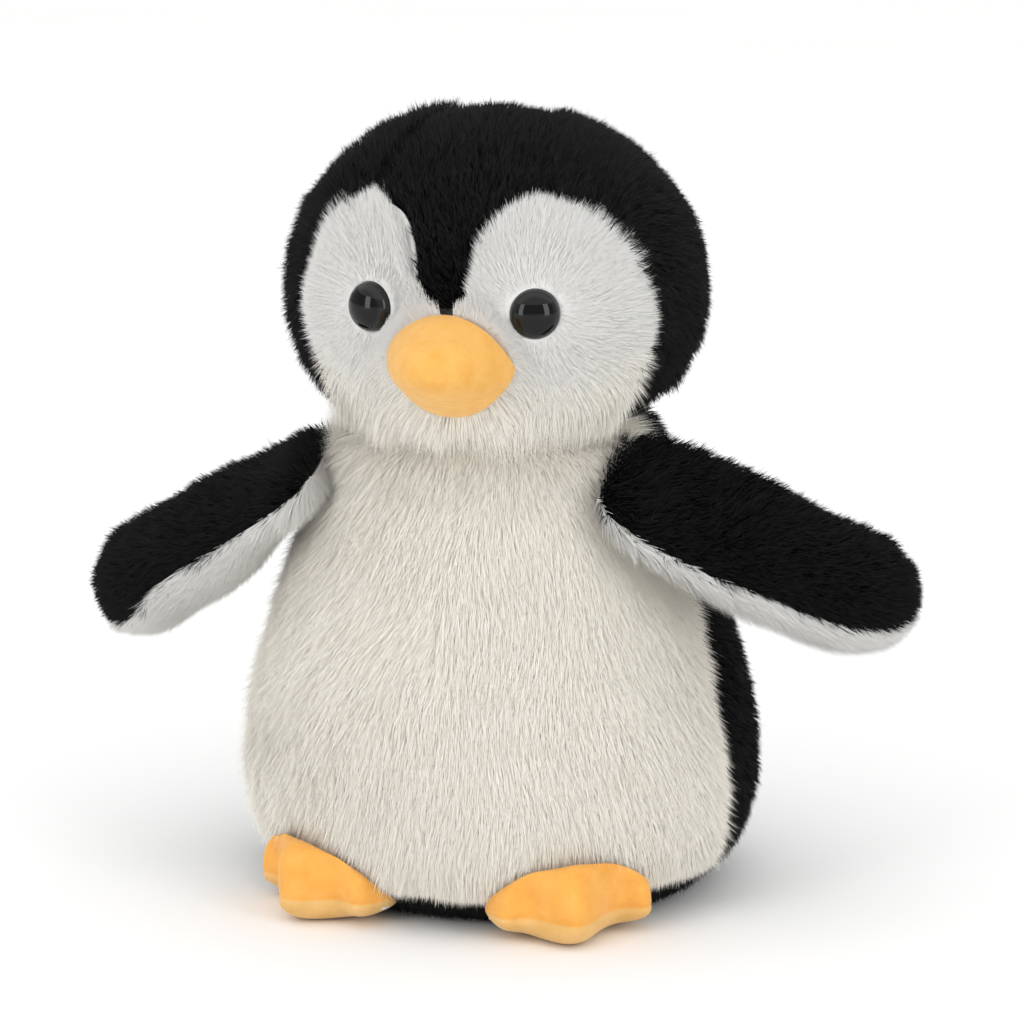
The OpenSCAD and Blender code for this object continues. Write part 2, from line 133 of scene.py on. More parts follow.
def waves(points, size, seed):
    # a soft, seeded ripple between -1 and 1 over points in metres
    rng = np.random.default_rng(seed)
    total = np.zeros(len(points))
    for _ in range(5):
        way = unit(rng.normal(size=3)) / size * rng.uniform(0.7, 1.5)
        total += np.sin(points @ way * 2 * pi + rng.uniform(0, 2 * pi))
    return total / 3


def newObject(name, mesh, materials):
    for m in materials:
        mesh.materials.append(m)
    made = bpy.data.objects.new(name, mesh)
    scene.collection.objects.link(made)
    return made


def gridMesh(name, points, rows, columns, closed=False, caps=False, flip=False):
    faces = []
    last = columns if closed else columns - 1
    for i in range(rows - 1):
        for j in range(last):
            k = (j + 1) % columns
            face = (i * columns + j, i * columns + k, (i + 1) * columns + k, (i + 1) * columns + j)
            faces.append(face[::-1] if flip else face)
    points = [tuple(p) for p in points]
    if caps:
        for row in (0, rows - 1):
            ring = [row * columns + j for j in range(columns)]
            points.append(tuple(np.mean([points[k] for k in ring], axis=0)))
            centre = len(points) - 1
            for j in range(columns):
                pair = (ring[j], ring[(j + 1) % columns])
                face = (pair[1], pair[0], centre) if row == 0 else (pair[0], pair[1], centre)
                faces.append(face[::-1] if flip else face)
    mesh = bpy.data.meshes.new(name)
    mesh.from_pydata(points, [], faces)
    mesh.update()
    mesh.polygons.foreach_set("use_smooth", [True] * len(mesh.polygons))
    return mesh


def newMaterial(name, roughness=0.9, sheen=0.0, sheenTint=(1, 1, 1), colour=(0.8, 0.8, 0.8)):
    made = bpy.data.materials.new(name)
    made.use_nodes = True
    shader = made.node_tree.nodes["Principled BSDF"]
    shader.inputs["Roughness"].default_value = roughness
    shader.inputs["Base Color"].default_value = (*colour, 1)
    shader.inputs["Specular IOR Level"].default_value = 0.15
    shader.inputs["Sheen Weight"].default_value = sheen
    shader.inputs["Sheen Roughness"].default_value = 0.5
    shader.inputs["Sheen Tint"].default_value = (*sheenTint, 1)
    return made, made.node_tree, shader


def mottled(name, low, high, scale, bump, roughness=0.9, sheen=0.0, sheenTint=(1, 1, 1), fine=None):
    # two tones mixed by noise, with a bump from a finer noise
    made, tree, shader = newMaterial(name, roughness, sheen, sheenTint)
    nodes, links = tree.nodes, tree.links
    place = nodes.new("ShaderNodeTexCoord")
    patch = nodes.new("ShaderNodeTexNoise")
    patch.inputs["Scale"].default_value = scale
    patch.inputs["Detail"].default_value = 4
    links.new(place.outputs["Object"], patch.inputs["Vector"])
    ramp = nodes.new("ShaderNodeValToRGB")
    ramp.color_ramp.elements[0].position = 0.3
    ramp.color_ramp.elements[0].color = (*low, 1)
    ramp.color_ramp.elements[1].position = 0.7
    ramp.color_ramp.elements[1].color = (*high, 1)
    links.new(patch.outputs["Fac"], ramp.inputs["Fac"])
    links.new(ramp.outputs["Color"], shader.inputs["Base Color"])
    grain = nodes.new("ShaderNodeTexNoise")
    grain.inputs["Scale"].default_value = fine or scale * 6
    grain.inputs["Detail"].default_value = 3
    links.new(place.outputs["Object"], grain.inputs["Vector"])
    raised = nodes.new("ShaderNodeBump")
    raised.inputs["Strength"].default_value = bump
    raised.inputs["Distance"].default_value = 0.0004
    links.new(grain.outputs["Fac"], raised.inputs["Height"])
    links.new(raised.outputs["Normal"], shader.inputs["Normal"])
    return made


def pileTints(name, tints, roughness, sheen, sheenTint):
    return [newMaterial(f"{name}{i}", roughness, sheen, sheenTint, t)[0] for i, t in enumerate(tints)]


# each pile has a root tone first, then the tones that its fibres are drawn from
ivoryTints = [(0.90, 0.865, 0.785), (0.91, 0.88, 0.80), (0.92, 0.895, 0.825), (0.895, 0.86, 0.775)]
faceTints = [(0.75, 0.742, 0.72), (0.765, 0.76, 0.742), (0.78, 0.777, 0.762), (0.755, 0.748, 0.727)]
blackTints = [(0.0018, 0.0018, 0.002), (0.0035, 0.0035, 0.0038), (0.0055, 0.0055, 0.006),
              (0.010, 0.010, 0.011)]
ivoryPile = pileTints("ivoryPile", ivoryTints, 0.95, 0.08, (1, 0.98, 0.94))
facePile = pileTints("facePile", faceTints, 0.95, 0.08, (1, 1, 1))
blackPile = pileTints("blackPile", blackTints, 0.75, 0.02, (0.8, 0.8, 0.85))
ivoryBacking = mottled("ivoryBacking", (0.88, 0.845, 0.76), (0.91, 0.875, 0.79), 180, 0.5, 0.95)
faceBacking = mottled("faceBacking", (0.755, 0.745, 0.725), (0.785, 0.78, 0.76), 180, 0.5, 0.95)
blackBacking = mottled("blackBacking", (0.0018, 0.0018, 0.002), (0.004, 0.004, 0.0045), 180, 0.5, 0.95)
velboa = mottled("velboa", (0.81, 0.36, 0.065), (0.89, 0.44, 0.10), 200, 0.5, 0.85, 0.45, (1, 0.8, 0.5), 1500)
velboaSole = mottled("velboaSole", (0.72, 0.42, 0.13), (0.79, 0.49, 0.19), 200, 0.5, 0.85, 0.4,
                     (1, 0.85, 0.6), 1500)
beakVelboa = mottled("beakVelboa", (0.76, 0.38, 0.075), (0.82, 0.45, 0.12), 260, 0.9, 0.85, 0.45,
                     (1, 0.85, 0.6), 900)
fibre = mottled("fibreFilling", (0.80, 0.80, 0.78), (0.92, 0.92, 0.90), 120, 0.9, 0.95, 0.2)
pouchCloth = mottled("pouchCloth", (0.66, 0.60, 0.47), (0.76, 0.71, 0.58), 260, 0.7, 0.95)
labelTape = mottled("labelTape", (0.84, 0.84, 0.82), (0.90, 0.90, 0.88), 300, 0.3, 0.6, 0.2)
washerPlastic = mottled("washerPlastic", (0.72, 0.72, 0.70), (0.80, 0.80, 0.78), 90, 0.1, 0.45)
floorPaper = mottled("floorPaper", studio["floorTint"], (0.91, 0.91, 0.905), 3, 0.02, 0.95)

# the eye's black middle and its dark grey rim tone; the rim tone is a painted reflection at the dome's edge
eyeBlackAndPaintedRim = {"from": 0.0040, "to": 0.0050, "middle": (0.001, 0.001, 0.0012, 1), "rim": (0.012, 0.014, 0.013, 1)}


def makeDomePlastic():
    # black in the middle of the eye, fading to a dark grey rim that is a painted reflection of the room at
    # the dome's edge
    made, tree, shader = newMaterial("domePlastic", 0.03)
    nodes, links = tree.nodes, tree.links
    shader.inputs["Specular IOR Level"].default_value = 0.3
    place = nodes.new("ShaderNodeTexCoord")
    across = nodes.new("ShaderNodeVectorMath")
    across.operation = "MULTIPLY"
    across.inputs[1].default_value = (1, 1, 0)
    links.new(place.outputs["Object"], across.inputs[0])
    radius = nodes.new("ShaderNodeVectorMath")
    radius.operation = "LENGTH"
    links.new(across.outputs["Vector"], radius.inputs[0])
    ring = nodes.new("ShaderNodeMapRange")
    ring.interpolation_type = "SMOOTHSTEP"
    ring.inputs["From Min"].default_value = eyeBlackAndPaintedRim["from"]
    ring.inputs["From Max"].default_value = eyeBlackAndPaintedRim["to"]
    links.new(radius.outputs["Value"], ring.inputs["Value"])
    # the ramp paints the reflection: black in the middle, dark grey towards the edge of the dome
    tone = nodes.new("ShaderNodeValToRGB")
    tone.color_ramp.elements[0].color = eyeBlackAndPaintedRim["middle"]
    tone.color_ramp.elements[1].color = eyeBlackAndPaintedRim["rim"]
    links.new(ring.outputs["Result"], tone.inputs["Fac"])
    links.new(tone.outputs["Color"], shader.inputs["Base Color"])
    return made


domePlastic = makeDomePlastic()

flat = studio["floorSize"] / 2
paper = bpy.data.meshes.new("floor")
corners = [(-flat, -flat, 0), (flat, -flat, 0), (flat, flat, 0), (-flat, flat, 0)]
paper.from_pydata(corners, [], [(0, 1, 2, 3)])
newObject("floor", paper, [floorPaper])
print("studio and materials made")

boxOf = {n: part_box(n) for n in frame["nodes"]}
jointOf = {j["name"]: j for j in frame["joints"]}
headMiddle = np.array(jointOf["head_nod"]["pos_m"], float)
body = {
    "top": boxOf["belly_panel"][1].z,
    "wide": boxOf["back_panel_left"][1].x,
    "front": -boxOf["belly_panel"][0].y,
    "back": boxOf["back_panel_left"][1].y,
    "seam": 73,
    "outline": [[0, 0.66], [0.03, 0.8], [0.08, 0.9], [0.16, 0.975], [0.28, 1], [0.43, 0.965], [0.57, 0.895],
                [0.71, 0.815], [0.85, 0.722], [0.95, 0.645], [1, 0.605], [1.03, 0.555], [1.045, 0.5]],
}
head = {
    "wide": boxOf["side_panel_left"][1].x,
    "front": headMiddle[1] - boxOf["face_patch_left"][0].y,
    "back": boxOf["crown_gusset"][1].y - headMiddle[1],
    "rise": boxOf["crown_gusset"][1].z - headMiddle[2],
    "ball": 0.044,
    "patchInner": [[0, 0], [86, 0], [91, 7], [97, 10.5], [108, 12], [119, 15.5], [126, 21], [132, 32]],
    "patchOuter": [[0, 18], [30, 42], [55, 58], [78, 65], [95, 64], [110, 59.5], [120, 53.5],
                   [127, 45], [132, 32]],
    "trim": {"left": 3, "right": -5},
    "gusset": [[132, 32], [152, 25], [180, 19], [230, 16], [300, 15], [360, 9]],
    "patchTop": 132,
}


def bodySurface(height, angle):
    share = curveAt(body["outline"], height)
    a = np.radians(angle)
    deep = np.where(np.cos(a) > 0, body["front"], body["back"])
    return np.stack([body["wide"] * share * np.sin(a), -deep * share * np.cos(a), height * body["top"]], -1)


def bodyCore(p, u, v):
    return np.stack([p[:, 0] * 0, p[:, 1] * 0, np.maximum(p[:, 2] * 0.75, 0.03)], -1)


def headSurface(turn, aside):
    t, s = np.radians(turn), np.radians(aside)
    d = np.stack([np.sin(s), -np.cos(s) * np.sin(t), -np.cos(s) * np.cos(t)], -1)
    return headMiddle + d * headReach(d)[..., None]


def headReach(d):
    deep = np.where(d[..., 1] < 0, head["front"], head["back"])
    high = np.where(d[..., 2] > 0, head["rise"], head["ball"])
    egg = 1 / np.sqrt((d[..., 0] / head["wide"]) ** 2 + (d[..., 1] / deep) ** 2 + (d[..., 2] / high) ** 2)
    ball = smooth(63, 51, np.degrees(np.arccos(np.clip(-d[..., 2], -1, 1))))
    return egg * (1 - ball) + head["ball"] * ball


def headCore(p, u, v):
    return np.broadcast_to(headMiddle, p.shape)


bodyForm = {"at": bodySurface, "core": bodyCore}
headForm = {"at": headSurface, "core": headCore}


def facing(form, u, v, du=0.002, dv=0.4):
    # points and outward normals on a form
    p = form["at"](u, v)
    a = form["at"](u + du, v) - form["at"](u - du, v)
    b = form["at"](u, v + dv) - form["at"](u, v - dv)
    n = unit(np.cross(a, b))
    out = np.sum((p - form["core"](p, u, v)) * n, -1)
    return p, n * np.where(out < 0, -1, 1)[:, None]


def patchInner(turn):
    return np.maximum(0, curveAt(head["patchInner"], np.minimum(turn, head["patchTop"])))


def patchOuter(turn, side):
    trim = head["trim"][side] * smooth(30, 62, turn) * smooth(130, 112, turn)
    return curveAt(head["patchOuter"], np.minimum(turn, head["patchTop"])) + trim


def sideEdge(turn, side):
    return np.where(turn < head["patchTop"], patchOuter(turn, side),
                    curveAt(head["gusset"], np.maximum(turn, head["patchTop"])))


def gussetEdge(turn):
    return np.where(turn < head["patchTop"], np.maximum(0.3, patchInner(turn)),
                    curveAt(head["gusset"], np.maximum(turn, head["patchTop"])))


def panel(form, uRange, low, high, step):
    # low and high give the edge angle at each u, for one piece of fabric
    return {"form": form, "u": uRange, "low": low, "high": high, "step": step}


def steady(value):
    return lambda u: np.full(np.shape(u), float(value))


def panelPoint(p, s, t):
    u = p["u"][0] + (p["u"][1] - p["u"][0]) * s
    low, high = p["low"](u), p["high"](u)
    return u, low + (high - low) * t


def scatter(p, count, rng, cells=(90, 60)):
    # roots spread evenly by area over a panel
    rows, columns = cells
    s, t = np.meshgrid(np.linspace(0, 1, rows + 1), np.linspace(0, 1, columns + 1), indexing="ij")
    u, v = panelPoint(p, s.ravel(), t.ravel())
    g = p["form"]["at"](u, v).reshape(rows + 1, columns + 1, 3)
    area = np.linalg.norm(np.cross(g[1:, :-1] - g[:-1, :-1], g[:-1, 1:] - g[:-1, :-1]), axis=-1)
    area = area + np.linalg.norm(np.cross(g[:-1, 1:] - g[1:, 1:], g[1:, :-1] - g[1:, 1:]), axis=-1)
    share = np.cumsum(area.ravel())
    pick = np.searchsorted(share, (np.arange(count) + rng.random(count)) / count * share[-1])
    pick = np.minimum(pick, rows * columns - 1)
    s = (pick // columns + rng.random(count)) / rows
    t = (pick % columns + rng.random(count)) / columns
    u, v = panelPoint(p, s, t)
    point, normal = facing(p["form"], u, v, du=p["step"])
    return u, v, point, normal


def skinPiece(name, p, depth, material, rows, columns, nodesReplaced, bodyName):
    s, t = np.meshgrid(np.linspace(0, 1, rows), np.linspace(0, 1, columns), indexing="ij")
    u, v = panelPoint(p, s.ravel(), t.ravel())
    point, normal = facing(p["form"], u, v, du=p["step"])
    point = point - normal * (depth(u) - 0.0004 * waves(point, 0.03, 5))[:, None]
    point[:, 2] = np.maximum(point[:, 2], 0.0003)
    mesh = gridMesh(name, point, rows, columns)
    way = mesh.polygons[len(mesh.polygons) // 2]
    if Vector(normal[way.vertices[0]]).dot(way.normal) < 0:
        mesh.flip_normals()
    made = newObject(name, mesh, [material])
    thick = made.modifiers.new("backing", "SOLIDIFY")
    thick.thickness = 0.0009
    thick.offset = -1
    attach(made, bodyName)
    if nodesReplaced:
        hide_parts(*nodesReplaced)
    return made


def growPile(name, roots, normals, flow, pile, tints, bodyName, seed):
    rng = np.random.default_rng(seed)
    count, steps = len(roots), pile["steps"]
    sideways = np.cross(normals, flow)
    swirl = waves(roots, pile["swirlSize"], seed + 1) * pile["swirl"] + rng.normal(0, pile["stray"], count)
    way = unit(flow * np.cos(swirl)[:, None] + sideways * np.sin(swirl)[:, None])
    length = pile["length"] * (1 + pile["uneven"] * rng.normal(size=count)).clip(0.5, 1.5)
    length = length * pile.get("lengthAt", 1) * (1 + 0.08 * waves(roots, 0.012, seed + 2))
    lean = np.radians(pile["lean"]) * (1 + pile["rough"] * rng.normal(size=count)) * pile.get("leanAt", 1)
    lean = lean * (1 + pile["rough"] * waves(roots, 0.016, seed + 3))
    points = [roots - normals * np.reshape(pile["depth"] * pile.get("depthAt", 1), (-1, 1))]
    for k in range(steps):
        angle = lean + np.radians(pile["bend"]) * (k + 0.5) / steps
        heading = unit(normals * np.cos(angle)[:, None] + way * np.sin(angle)[:, None]
                       + rng.normal(0, pile["kink"], (count, 3)))
        points.append(points[-1] + heading * (length / steps)[:, None])
    line = np.stack(points, 1)

    # fibres gather into tufts: each follows the nearest tuft's own leading fibre
    leaders = rng.choice(count, max(8, int(count / pile["tuft"])), replace=False)
    tree = kdtree.KDTree(len(leaders))
    for i, leader in enumerate(leaders):
        tree.insert(roots[leader], i)
    tree.balance()
    nearest = np.array([leaders[tree.find(p)[1]] for p in roots])
    pull = pile["pull"] * rng.uniform(0.3, 1.4, count).clip(0, 1)
    for k in range(1, steps + 1):
        share = (pull * (k / steps) ** 1.3)[:, None]
        line[:, k] += (line[nearest, k] - line[:, k]) * share
    line[:, :, 2] = np.maximum(line[:, :, 2], 0.0004)

    # blades turn mostly outward, with some turned edge on
    heading = unit(line[:, -1] - line[:, 0])
    flatWay = unit(np.cross(heading, normals) + 1e-6)
    rise = np.cross(flatWay, heading)
    spin = rng.normal(0, pile["spin"], count)
    across = flatWay * np.cos(spin)[:, None] + rise * np.sin(spin)[:, None]
    bladeNormal = unit(np.cross(across, heading))
    bladeNormal *= np.where(np.sum(bladeNormal * normals, -1) < 0, -1, 1)[:, None]
    across = np.cross(heading, bladeNormal)
    taper = np.interp(np.arange(steps) / steps, [0, 0.5, 1], [1, 0.8, 0.3])
    width = pile["width"] * rng.uniform(0.7, 1.3, count)
    per = 2 * steps + 1
    verts = np.empty((count, per, 3), np.float32)
    for k in range(steps):
        half = (across * (width * taper[k] / 2)[:, None])
        verts[:, 2 * k] = line[:, k] - half
        verts[:, 2 * k + 1] = line[:, k] + half
    verts[:, -1] = line[:, steps]

    loops, starts, total = [], [], 0
    for k in range(steps - 1):
        loops += [2 * k, 2 * k + 1, 2 * k + 3, 2 * k + 2]
        starts.append(total)
        total += 4
    loops += [2 * steps - 2, 2 * steps - 1, 2 * steps]
    starts.append(total)
    total += 3
    base = (np.arange(count) * per)[:, None]
    allLoops = (np.array(loops)[None] + base).ravel().astype(np.int32)
    allStarts = (np.array(starts)[None] + (np.arange(count) * total)[:, None]).ravel().astype(np.int32)
    mesh = bpy.data.meshes.new(name)
    mesh.vertices.add(count * per)
    mesh.vertices.foreach_set("co", verts.ravel())
    mesh.loops.add(len(allLoops))
    mesh.loops.foreach_set("vertex_index", allLoops)
    mesh.polygons.add(len(allStarts))
    mesh.polygons.foreach_set("loop_start", allStarts)
    tone = rng.choice(3, count, p=pile["mix"]) + 1
    tuftTone = rng.choice(3, count, p=pile["mix"]) + 1
    tone = np.where(rng.random(count) < 0.5, tuftTone[nearest], tone)
    slots = np.repeat(tone[:, None], steps, 1)
    slots[:, 0] = np.where(rng.random(count) < pile["rootShare"], 0, slots[:, 0])
    slots = slots + 4 * (rng.random(count) < pile.get("second", 0))[:, None]
    mesh.polygons.foreach_set("material_index", slots.ravel().astype(np.int32))
    mesh.polygons.foreach_set("use_smooth", np.ones(len(allStarts), bool))
    mesh.update(calc_edges=True)
    mesh.validate()
    softened = unit(bladeNormal * (1 - pile["soften"]) + normals * pile["soften"])
    mesh.normals_split_custom_set_from_vertices(np.repeat(softened, per, 0).astype(np.float32))
    made = newObject(name, mesh, tints)
    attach(made, bodyName)
    print(f"  {name}: {count} fibres, {count * (2 * steps - 1)} triangles")
    return made


# lengths in metres, lean and bend in degrees from the surface normal, shares without a unit
bellyPile = {"length": 0.0080, "depth": 0.0010, "lean": 72, "bend": 10, "width": 0.00026, "steps": 1,
             "swirl": 0.22, "swirlSize": 0.035, "stray": 0.13, "uneven": 0.10, "kink": 0.02,
             "tuft": 26, "pull": 0.15, "spin": 0.12, "mix": [0.45, 0.35, 0.2], "rootShare": 0.5,
             "soften": 1, "rough": 0.06}
patchPile = dict(bellyPile, length=0.0062, depth=0.0011, lean=64, bend=14, tuft=22, swirl=0.12)
shortPile = {"length": 0.0050, "depth": 0.0024, "lean": 26, "bend": 26, "width": 0.00032, "steps": 2,
             "swirl": 0.3, "swirlSize": 0.02, "stray": 0.5, "uneven": 0.12, "kink": 0.10,
             "tuft": 14, "pull": 0.4, "spin": 0.8, "mix": [0.6, 0.3, 0.1], "rootShare": 0.8,
             "soften": 0.5, "rough": 0.2}
flipperPile = dict(shortPile, length=0.0054, lean=30, mix=[0.8, 0.2, 0])
headPile = dict(shortPile, mix=[0.3, 0.35, 0.35])
flipperUnderPile = dict(patchPile, length=0.0062, lean=52, depth=0.0016)
hemPile = dict(shortPile, length=0.0040, depth=0.0012, lean=30)
wisps = 0.10  # share of white fibres that stand up from the coat
skinDepth = {"belly": 0.0011, "back": 0.0028, "base": 0.0015, "face": 0.0012, "side": 0.0014, "crown": 0.0029,
             "flipper": 0.0026}
fibreCount = {"belly": 150000, "back": 36000, "base": 11000, "face": 90000, "side": 36000, "crown": 21000,
              "flipperTop": 15000, "flipperUnder": 36000}


def along(normals, way):
    way = np.broadcast_to(np.asarray(way, float), normals.shape)
    return unit(way - normals * np.sum(way * normals, -1)[:, None])


def mixed(first, second, share):
    return unit(first * (1 - share)[:, None] + second * share[:, None])


bellyPanel = panel(bodyForm, (0.0, 1.045), steady(-body["seam"]), steady(body["seam"]), 0.004)
skinPiece("belly_skin", bellyPanel, steady(skinDepth["belly"]), ivoryBacking, 60, 72, ["belly_panel"],
          "body")
for side, sign in (("left", 1), ("right", -1)):
    half = panel(bodyForm, (0.098, 1.045), steady(0 if sign > 0 else -body["seam"] + 2),
                 steady(body["seam"] - 2 if sign > 0 else 0), 0.004)
    rng = np.random.default_rng(11 + sign)
    u, v, point, normal = scatter(half, fibreCount["belly"], rng)
    edge = smooth(body["seam"] - 12, body["seam"], np.abs(v))
    hem = smooth(0.15, 0.10, u)
    collar = smooth(0.92, 1, u)
    flow = mixed(along(normal, (0, 0, -1)), along(normal, (sign, 0.6, -0.5)), edge * 0.6)
    spec = dict(bellyPile, lengthAt=1 - 0.35 * hem + 0.3 * collar,
                leanAt=(1 - 0.15 * edge - 0.2 * collar) * np.where(rng.random(len(u)) < wisps, 0.72, 1))
    growPile(f"belly_pile_{side}", point, normal, flow, spec, ivoryPile, "body", 21 + sign)
    back = panel(bodyForm, (0.0, 1.045), steady(body["seam"] if sign > 0 else -180),
                 steady(180 if sign > 0 else -body["seam"]), 0.004)
    skinPiece(f"back_skin_{side}", back, steady(skinDepth["back"]), blackBacking, 60, 54,
              [f"back_panel_{side}"], "body")
    u, v, point, normal = scatter(back, fibreCount["back"], rng)
    growPile(f"back_pile_{side}", point, normal, along(normal, (0, 0, -1)), shortPile, blackPile, "body",
             31 + sign)

# black base: a disc that turns up round the foot of the belly
baseRows, baseTurns = 14, 96
ring = np.linspace(0, 2 * pi, baseTurns, endpoint=False)
basePoints = []
for share in np.linspace(0.02, 0.97, 9):
    rim = bodySurface(np.zeros(baseTurns), np.degrees(ring)) * share
    basePoints.append(rim + [0, 0, 0.0005 + 0.0004 * (1 - share)])
for u in (0.004, 0.022, 0.044, 0.068, 0.092):
    p, n = facing(bodyForm, np.full(baseTurns, u), np.degrees(ring), du=0.004)
    p = p - n * skinDepth["base"]
    p[:, 2] = np.maximum(p[:, 2], 0.0006)
    basePoints.append(p)
mesh = gridMesh("base_skin", np.concatenate(basePoints), baseRows, baseTurns, closed=True, flip=True)
baseSkin = newObject("base_skin", mesh, [blackBacking])
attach(baseSkin, "body")
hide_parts("base_panel")
hem = panel(bodyForm, (0.003, 0.086), steady(-75), steady(75), 0.004)
u, v, point, normal = scatter(hem, fibreCount["base"], np.random.default_rng(35), cells=(8, 90))
growPile("base_pile", point, normal, along(normal, (0, 0, -1)), hemPile, blackPile, "body", 36)
print("body made")

faceMiddle = {"turn": 84, "aside": 25, "rim": 6, "gussetRim": {"left": 1.5, "right": 1.8},
              "beakClear": 0.0125}
eye = {"across": 0.0205, "height": 0.1463, "clear": 0.0063}
beakMiddle = np.array([0, headMiddle[1] - head["front"], 0.1343])


def headSpot(x, z):
    # a point on the front of the head with its outward normal
    rise = z - headMiddle[2]
    tall = head["rise"] if rise > 0 else head["ball"]
    deep = head["front"] * sqrt(1 - (x / head["wide"]) ** 2 - (rise / tall) ** 2)
    n = np.array([x / head["wide"] ** 2, -deep / head["front"] ** 2, rise / tall ** 2])
    return np.array([x, headMiddle[1] - deep, z]), unit(n)


for side, sign in (("left", 1), ("right", -1)):
    def mirrored(edge, sign=sign):
        return lambda u: sign * edge(u)

    def outer(turn, side=side):
        return patchOuter(turn, side)

    patch = panel(headForm, (14, head["patchTop"] - 0.6), mirrored(patchInner), mirrored(outer), 0.4)
    skinPiece(f"face_skin_{side}", patch, steady(skinDepth["face"]), faceBacking, 56, 30,
              [f"face_patch_{side}"], "head")
    rng = np.random.default_rng(41 + sign)

    def inset(turn, rim=faceMiddle["gussetRim"][side]):
        return patchInner(turn) + rim * smooth(86, 94, turn) + 4 * smooth(108, 124, turn)

    def outset(turn):
        rim = faceMiddle["rim"] * smooth(40, 60, turn) * (1 - 0.45 * smooth(98, 120, turn))
        return np.maximum(outer(turn) - rim, inset(turn) + 0.05)

    rooted = panel(headForm, (20, head["patchTop"] - 6), mirrored(inset), mirrored(outset), 0.4)
    u, v, point, normal = scatter(rooted, fibreCount["face"], rng)
    # fibres fan out from beside the beak and reach over the black at the rim of the patch
    middle = headSurface(np.array([faceMiddle["turn"]]), np.array([sign * faceMiddle["aside"]]))[0]
    away = point - middle
    reach = np.linalg.norm(away, axis=-1)
    flow = along(normal, away)
    innerRim = smooth(9, 0, np.abs(v) - inset(u)) * smooth(90, 98, u)
    if sign < 0:
        flow = mixed(flow, along(normal, (-0.5, 0, 1)), innerRim)
    chin = smooth(68, 48, u)
    flow = mixed(flow, along(normal, (0, -0.2, -1)), chin)
    eyeSpot = headSpot(sign * eye["across"], eye["height"])[0]
    fromEye = point - eyeSpot
    eyeGap = np.linalg.norm(fromEye, axis=-1)
    nearEye = smooth(0.013, 0.007, eyeGap)
    flow = mixed(flow, along(normal, fromEye), nearEye)
    fromBeak = (point - beakMiddle) * [0.92, 1, 1.12]
    beakGap = np.linalg.norm(fromBeak, axis=-1)
    nearBeak = smooth(0.022, 0.013, beakGap)
    flow = mixed(flow, along(normal, fromBeak), nearBeak * 0.9)
    keep = (eyeGap > eye["clear"]) & (beakGap > faceMiddle["beakClear"])
    wispy = np.where(rng.random(len(u)) < wisps, 0.75, 1) * (1 - 0.12 * chin)
    spec = dict(patchPile, leanAt=((0.75 + 0.3 * smooth(0.004, 0.02, reach) + 0.2 * nearEye) * wispy)[keep],
                lengthAt=(1 - 0.5 * nearEye - 0.35 * nearBeak + 1.05 * chin)[keep],
                second=smooth(78, 52, u)[keep])
    growPile(f"face_pile_{side}", point[keep], normal[keep], flow[keep], spec, facePile + ivoryPile, "head",
             51 + sign)

    def rim(turn, side=side):
        return sideEdge(turn, side)

    sidePanel = panel(headForm, (20, 340), mirrored(rim), mirrored(steady(89.7)), 0.4)
    skinPiece(f"side_skin_{side}", sidePanel, steady(skinDepth["side"]), blackBacking, 90, 26,
              [f"side_panel_{side}"], "head")
    u, v, point, normal = scatter(sidePanel, fibreCount["side"], rng)
    t = np.radians(u)
    climb = along(normal, np.stack([0 * t, -np.cos(t), np.sin(t)], -1))
    flow = mixed(climb, along(normal, (0, 0.6, -0.8)), smooth(40, 70, np.abs(v)))
    spec = dict(headPile, depth=0.0012, lengthAt=1.1 - 0.1 * sign)
    growPile(f"side_pile_{side}", point, normal, flow, spec, blackPile, "head", 61 + sign)

gusset = panel(headForm, (90, 340), lambda u: -gussetEdge(u), gussetEdge, 0.4)
skinPiece("crown_skin", gusset, steady(skinDepth["crown"]), blackBacking, 90, 18, ["crown_gusset"],
          "head")
u, v, point, normal = scatter(gusset, fibreCount["crown"], np.random.default_rng(71))
t = np.radians(u)
crownPile = dict(headPile, lengthAt=0.7 + 0.3 * smooth(100, 118, u), leanAt=1 - 0.4 * smooth(118, 96, u))
growPile("crown_pile", point, normal, along(normal, np.stack([0 * t, -np.cos(t), np.sin(t)], -1)),
         crownPile, blackPile, "head", 72)
print("head made")


eyeDome = {"rim": 0.0060, "dome": 0.00585, "lift": -0.0017, "high": 0.0040, "sink": -0.0035}


def makeEye(side, sign):
    spot, way = headSpot(sign * eye["across"], eye["height"])
    profile = [(0.0046, eyeDome["sink"]), (0.0058, -0.0020), (eyeDome["rim"], -0.0006),
               (eyeDome["rim"], 0.0002)]
    for a in np.linspace(4, 89, 24):
        profile.append((eyeDome["dome"] * cos(radians(a)), 0.0003 + eyeDome["high"] * sin(radians(a))))
    turns = 56
    turnList = np.linspace(0, 2 * pi, turns, endpoint=False)
    points = [(r * cos(t), r * sin(t), h + eyeDome["lift"]) for r, h in profile for t in turnList]
    mesh = gridMesh(f"eye_dome_{side}", points, len(profile), turns, closed=True, caps=True)
    made = newObject(f"eye_dome_{side}", mesh, [domePlastic])
    turn = Vector(way).to_track_quat("Z", "Y").to_matrix().to_4x4()
    made.matrix_world = Matrix.Translation(Vector(spot)) @ turn
    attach(made, "head")
    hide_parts(f"eye_{side}")


makeEye("left", 1)
makeEye("right", -1)
for side in ("left", "right"):
    washer = frame["nodes"][f"eye_washer_{side}"]
    washer.data.materials.clear()
    washer.data.materials.append(washerPlastic)
print("eyes made")


